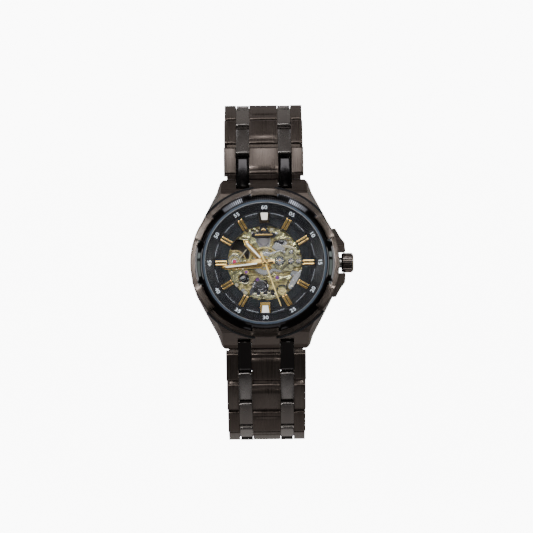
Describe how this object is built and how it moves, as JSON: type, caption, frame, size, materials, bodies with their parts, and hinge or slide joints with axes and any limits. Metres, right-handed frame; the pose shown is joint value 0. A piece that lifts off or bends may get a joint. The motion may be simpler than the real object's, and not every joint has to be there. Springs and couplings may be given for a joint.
{
  "type": "skeleton wristwatch",
  "caption": "Automatic skeleton wristwatch with gilt open-worked movement, gear train, hands, screw crown, dark steel link bracelet and folding clasp.",
  "frame": {"origin": "centre of the case back's outer flat face", "axes": "+Z out of the dial, +Y towards 12 o'clock, +X towards the crown at 3 o'clock"},
  "size_m": [0.046, 0.0963, 0.0549],
  "materials": {
    "pvd_case": "gunmetal coating, satin brushed",
    "pvd_bezel": "gunmetal coating, polished slope, brushed tabs",
    "pvd_crown": "gunmetal coating, polished",
    "pvd_link": "gunmetal coating, satin outer and centre columns, polished between",
    "steel_pin": "turned",
    "crystal_glass": "polished sapphire",
    "gasket": "moulded",
    "dial_black": "satin black lacquer",
    "dial_slate": "fine satin slate blue",
    "gold": "polished gilt",
    "lume": "white luminous paint",
    "holder": "moulded",
    "gilt_plate": "gilt, engraved and satin",
    "bright_steel": "polished",
    "blued_steel": "blued",
    "ruby": "polished synthetic ruby"
  },
  "bodies": {
    "case": {"mid_case": "pvd_case", "bezel": "pvd_bezel", "crystal": "crystal_glass", "crystal_gasket": "gasket", "case_back": "pvd_case", "back_crystal": "crystal_glass", "chapter_ring": "dial_black", "dial_ring": "dial_slate", "hour_markers": "gold", "marker_lume": "lume", "crown_tube": "steel_pin", "lug_pins": "steel_pin", "movement_holder": "holder", "main_plate": "gilt_plate", "train_bridge": "gilt_plate", "balance_cock": "gilt_plate", "motion_bridge": "gilt_plate", "jewels": "ruby", "movement_screws": "bright_steel"},
    "crown_slider": {"crown_gasket": "gasket"},
    "crown_body": {"crown": "pvd_crown", "winding_stem": "steel_pin"},
    "winding_pinion_body": {"winding_pinion": "bright_steel"},
    "crown_wheel_body": {"crown_wheel": "bright_steel"},
    "ratchet_body": {"ratchet_wheel": "bright_steel"},
    "barrel_body": {"barrel": "gilt_plate"},
    "centre_body": {"centre_wheel": "gilt_plate", "minute_hand": "gold"},
    "third_body": {"third_wheel": "gilt_plate"},
    "seconds_body": {"fourth_wheel": "gilt_plate", "second_hand": "gold"},
    "escape_body": {"escape_wheel": "bright_steel"},
    "pallet_body": {"pallet_fork": "bright_steel"},
    "balance_body": {"balance_wheel": "gilt_plate", "hairspring": "blued_steel"},
    "minute_wheel_body": {"minute_wheel": "bright_steel"},
    "hour_body": {"hour_wheel": "gilt_plate", "hour_hand": "gold"},
    "setting_body": {"setting_wheel": "bright_steel"},
    "rotor_body": {"rotor": "gilt_plate"},
    "upper_1": {"upper_link_1": "pvd_link"},
    "upper_2": {"upper_link_2": "pvd_link"},
    "upper_3": {"upper_link_3": "pvd_link"},
    "upper_4": {"upper_link_4": "pvd_link"},
    "upper_5": {"upper_link_5": "pvd_link"},
    "upper_6": {"upper_link_6": "pvd_link"},
    "upper_7": {"upper_link_7": "pvd_link"},
    "upper_8": {"upper_link_8": "pvd_link"},
    "lower_1": {"lower_link_1": "pvd_link"},
    "lower_2": {"lower_link_2": "pvd_link"},
    "lower_3": {"lower_link_3": "pvd_link"},
    "lower_4": {"lower_link_4": "pvd_link"},
    "lower_5": {"lower_link_5": "pvd_link"},
    "lower_6": {"lower_link_6": "pvd_link"},
    "lower_7": {"lower_link_7": "pvd_link"},
    "cover_body": {"clasp_cover": "pvd_case"},
    "blade_inner_body": {"clasp_blade_inner": "pvd_case"},
    "blade_outer_body": {"clasp_blade_outer": "pvd_case"},
    "button_left_body": {"button_left": "pvd_crown"},
    "button_right_body": {"button_right": "pvd_crown"}
  },
  "joints": [
    {"name": "seconds_turn", "type": "hinge", "parent": "case", "child": "seconds_body", "pos_m": [0, 0, 0.0031], "axis": [0, 0, -1], "continuous": true},
    {"name": "third_turn", "type": "hinge", "parent": "case", "child": "third_body", "pos_m": [0.0035, -0.004, 0.0034], "axis": [0, 0, -1], "continuous": true},
    {"name": "centre_turn", "type": "hinge", "parent": "case", "child": "centre_body", "pos_m": [0, 0, 0.0047], "axis": [0, 0, -1], "continuous": true},
    {"name": "barrel_turn", "type": "hinge", "parent": "case", "child": "barrel_body", "pos_m": [0.0012, 0.0064, 0.0042], "axis": [0, 0, -1], "continuous": true},
    {"name": "escape_turn", "type": "hinge", "parent": "case", "child": "escape_body", "pos_m": [-0.0021, -0.0046, 0.0037], "axis": [0, 0, -1], "continuous": true},
    {"name": "minute_wheel_turn", "type": "hinge", "parent": "case", "child": "minute_wheel_body", "pos_m": [0.0042, 0.00056, 0.0065], "axis": [0, 0, -1], "continuous": true},
    {"name": "hour_turn", "type": "hinge", "parent": "case", "child": "hour_body", "pos_m": [0, 0, 0.0069], "axis": [0, 0, -1], "continuous": true},
    {"name": "setting_turn", "type": "hinge", "parent": "case", "child": "setting_body", "pos_m": [0.00888, 0.00056, 0.0065], "axis": [0, 0, -1], "continuous": true},
    {"name": "rotor_turn", "type": "hinge", "parent": "case", "child": "rotor_body", "pos_m": [0, 0, 0.002], "axis": [0, 0, -1], "continuous": true},
    {"name": "crown_pull", "type": "slide", "parent": "case", "child": "crown_slider", "axis": [1, 0, 0], "range_m": [0, 0.0015]},
    {"name": "crown_turn", "type": "hinge", "parent": "crown_slider", "child": "crown_body", "pos_m": [0.022, 0, 0.0042], "axis": [1, 0, 0], "continuous": true},
    {"name": "winding_pinion_turn", "type": "hinge", "parent": "case", "child": "winding_pinion_body", "pos_m": [0.0105, 0, 0.0042], "axis": [1, 0, 0], "continuous": true},
    {"name": "crown_wheel_turn", "type": "hinge", "parent": "case", "child": "crown_wheel_body", "pos_m": [0.00738, 0, 0.005], "axis": [0, 0, -1], "continuous": true},
    {"name": "ratchet_turn", "type": "hinge", "parent": "case", "child": "ratchet_body", "pos_m": [0.0012, 0.0064, 0.005], "axis": [0, 0, -1], "continuous": true},
    {"name": "pallet_swing", "type": "hinge", "parent": "case", "child": "pallet_body", "pos_m": [-0.0052, -0.0024, 0.0038], "axis": [0, 0, -1], "range_deg": [-4, 4]},
    {"name": "balance_swing", "type": "hinge", "parent": "case", "child": "balance_body", "pos_m": [-0.00845, 0.0008, 0.0044], "axis": [0, 0, -1], "range_deg": [-270, 270], "stiffness_Nm_per_rad": 0.00000036, "deforming": ["hairspring"]},
    {"name": "upper_hinge_1", "type": "hinge", "parent": "case", "child": "upper_1", "pos_m": [0, 0.0226, 0.0032], "axis": [1, 0, 0], "range_deg": [0, 17.3]},
    {"name": "upper_hinge_2", "type": "hinge", "parent": "upper_1", "child": "upper_2", "pos_m": [0, 0.03198, 0.00115], "axis": [1, 0, 0], "range_deg": [0, 25.4]},
    {"name": "upper_hinge_3", "type": "hinge", "parent": "upper_2", "child": "upper_3", "pos_m": [0, 0.04006, -0.00403], "axis": [1, 0, 0], "range_deg": [0, 28.7]},
    {"name": "upper_hinge_4", "type": "hinge", "parent": "upper_3", "child": "upper_4", "pos_m": [0, 0.04537, -0.01203], "axis": [1, 0, 0], "range_deg": [0, 38]},
    {"name": "upper_hinge_5", "type": "hinge", "parent": "upper_4", "child": "upper_5", "pos_m": [0, 0.04547, -0.02163], "axis": [1, 0, 0], "range_deg": [0, 37.4]},
    {"name": "upper_hinge_6", "type": "hinge", "parent": "upper_5", "child": "upper_6", "pos_m": [0, 0.04041, -0.02979], "axis": [1, 0, 0], "range_deg": [0, 29.2]},
    {"name": "upper_hinge_7", "type": "hinge", "parent": "upper_6", "child": "upper_7", "pos_m": [0, 0.03245, -0.03515], "axis": [1, 0, 0], "range_deg": [0, 21.7]},
    {"name": "upper_hinge_8", "type": "hinge", "parent": "upper_7", "child": "upper_8", "pos_m": [0, 0.02329, -0.03801], "axis": [1, 0, 0], "range_deg": [0, 17.5]},
    {"name": "lower_hinge_1", "type": "hinge", "parent": "case", "child": "lower_1", "pos_m": [0, -0.0226, 0.0032], "axis": [-1, 0, 0], "range_deg": [0, 31.4]},
    {"name": "lower_hinge_2", "type": "hinge", "parent": "lower_1", "child": "lower_2", "pos_m": [0, -0.0312, -0.00107], "axis": [-1, 0, 0], "range_deg": [0, 11.6]},
    {"name": "lower_hinge_3", "type": "hinge", "parent": "lower_2", "child": "lower_3", "pos_m": [0, -0.03925, -0.0063], "axis": [-1, 0, 0], "range_deg": [0, 22.9]},
    {"name": "lower_hinge_4", "type": "hinge", "parent": "lower_3", "child": "lower_4", "pos_m": [0, -0.0453, -0.01375], "axis": [-1, 0, 0], "range_deg": [0, 30.3]},
    {"name": "lower_hinge_5", "type": "hinge", "parent": "lower_4", "child": "lower_5", "pos_m": [0, -0.04759, -0.02307], "axis": [-1, 0, 0], "range_deg": [0, 38]},
    {"name": "lower_hinge_6", "type": "hinge", "parent": "lower_5", "child": "lower_6", "pos_m": [0, -0.04444, -0.03214], "axis": [-1, 0, 0], "range_deg": [0, 38.1]},
    {"name": "lower_hinge_7", "type": "hinge", "parent": "lower_6", "child": "lower_7", "pos_m": [0, -0.03684, -0.03801], "axis": [-1, 0, 0], "range_deg": [0, 37.7]},
    {"name": "clasp_cover_hinge", "type": "hinge", "parent": "upper_8", "child": "cover_body", "pos_m": [0, 0.01372, -0.03881], "axis": [1, 0, 0], "range_deg": [0, 30]},
    {"name": "clasp_inner_hinge", "type": "hinge", "parent": "cover_body", "child": "blade_inner_body", "pos_m": [0, -0.024, -0.03999], "axis": [1, 0, 0], "range_deg": [0, 25]},
    {"name": "clasp_outer_hinge", "type": "hinge", "parent": "blade_inner_body", "child": "blade_outer_body", "pos_m": [0, 0.0096, -0.03909], "axis": [-1, 0, 0], "range_deg": [0, 50]},
    {"name": "button_left_press", "type": "slide", "parent": "cover_body", "child": "button_left_body", "axis": [1, 0, 0], "range_m": [0, 0.0006], "stiffness_N_per_m": 500},
    {"name": "button_right_press", "type": "slide", "parent": "cover_body", "child": "button_right_body", "axis": [-1, 0, 0], "range_m": [0, 0.0006], "stiffness_N_per_m": 500}
  ],
  "couplings": [
    {"joint": "third_turn", "follows": "seconds_turn", "ratio": -0.13333},
    {"joint": "centre_turn", "follows": "seconds_turn", "ratio": 0.016667},
    {"joint": "barrel_turn", "follows": "seconds_turn", "ratio": -0.0025641},
    {"joint": "escape_turn", "follows": "seconds_turn", "ratio": -10},
    {"joint": "minute_wheel_turn", "follows": "seconds_turn", "ratio": -0.0055556},
    {"joint": "hour_turn", "follows": "seconds_turn", "ratio": 0.0013889},
    {"joint": "setting_turn", "follows": "seconds_turn", "ratio": 0.011765},
    {"joint": "winding_pinion_turn", "follows": "crown_turn", "ratio": 1},
    {"joint": "crown_wheel_turn", "follows": "crown_turn", "ratio": 0.33333},
    {"joint": "ratchet_turn", "follows": "crown_turn", "ratio": -0.22642},
    {"joint": "clasp_outer_hinge", "follows": "clasp_inner_hinge", "ratio": 2}
  ]
}
